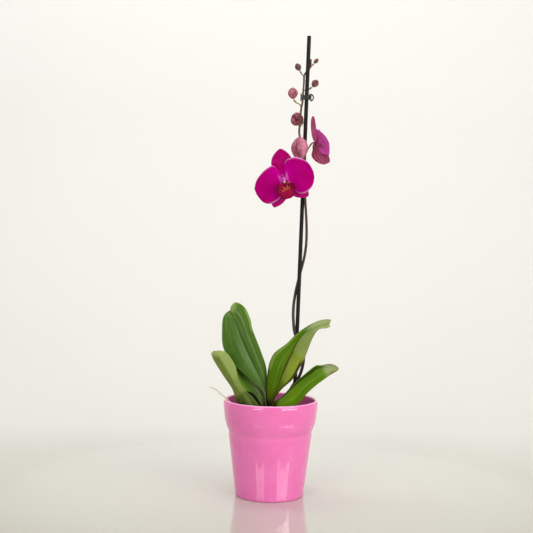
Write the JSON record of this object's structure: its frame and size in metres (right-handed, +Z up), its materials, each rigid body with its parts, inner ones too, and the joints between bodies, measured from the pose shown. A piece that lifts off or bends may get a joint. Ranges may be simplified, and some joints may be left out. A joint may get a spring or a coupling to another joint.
{
  "type": "potted moth orchid",
  "caption": "Potted moth orchid with strap leaves, magenta blooms and buds on a spike clipped to a dark stake, in a glazed pink cover pot.",
  "frame": {"origin": "centre of the cover pot's flat underside", "axes": "+Z up along the pot; the front, where the open bloom faces, is -Y; the side bloom faces +X"},
  "size_m": [0.1849, 0.1356, 0.6616],
  "materials": {
    "glaze": "glossy pink glaze",
    "pot_plastic": "thin brown plastic",
    "bark": "rough bark chips",
    "root": "silvery velvet skin",
    "crown": "short green-brown stem",
    "husk": "dry dark sheath",
    "leaf": "fleshy, waxy green",
    "young_leaf": "fleshy, dull yellow-green",
    "stem": "brown-green flower stem",
    "stake": "dark coated rod",
    "clip": "dark translucent plastic",
    "steel": "bright wire",
    "petal": "velvety magenta petal",
    "lip": "dark maroon petal",
    "column": "lilac with a pale tip",
    "bud": "dusty pink, waxy"
  },
  "bodies": {
    "plant": {"cover_pot": "glaze", "culture_pot": "pot_plastic", "bark_mix": "bark", "roots": "root", "crown": "crown", "old_sheath": "husk", "leaf_left_tall": "leaf", "leaf_right_high": "leaf", "leaf_left_inner": "leaf", "leaf_right_low": "leaf", "leaf_left_low": "young_leaf", "flower_spike": "stem", "stake": "stake", "bloom_front_petals": "petal", "bloom_front_lip": "lip", "bloom_front_column": "column", "bloom_side_petals": "petal", "bloom_side_lip": "lip", "bloom_side_column": "column", "bud_opening": "bud", "bud_round": "bud", "bud_left": "bud", "bud_right": "bud", "bud_high_left": "bud", "bud_high_right": "bud", "clip_back_jaw": "clip", "clip_spring": "steel", "clip_pin": "steel"},
    "clip_jaw": {"clip_front_jaw": "clip"}
  },
  "joints": [
    {"name": "clip_hinge", "type": "hinge", "parent": "plant", "child": "clip_jaw", "pos_m": [0.04964, 0.012, 0.573], "axis": [0.0233, 0, 0.9997], "range_deg": [0, 25], "stiffness_Nm_per_rad": 0.02, "springref_deg": -17.19}
  ]
}
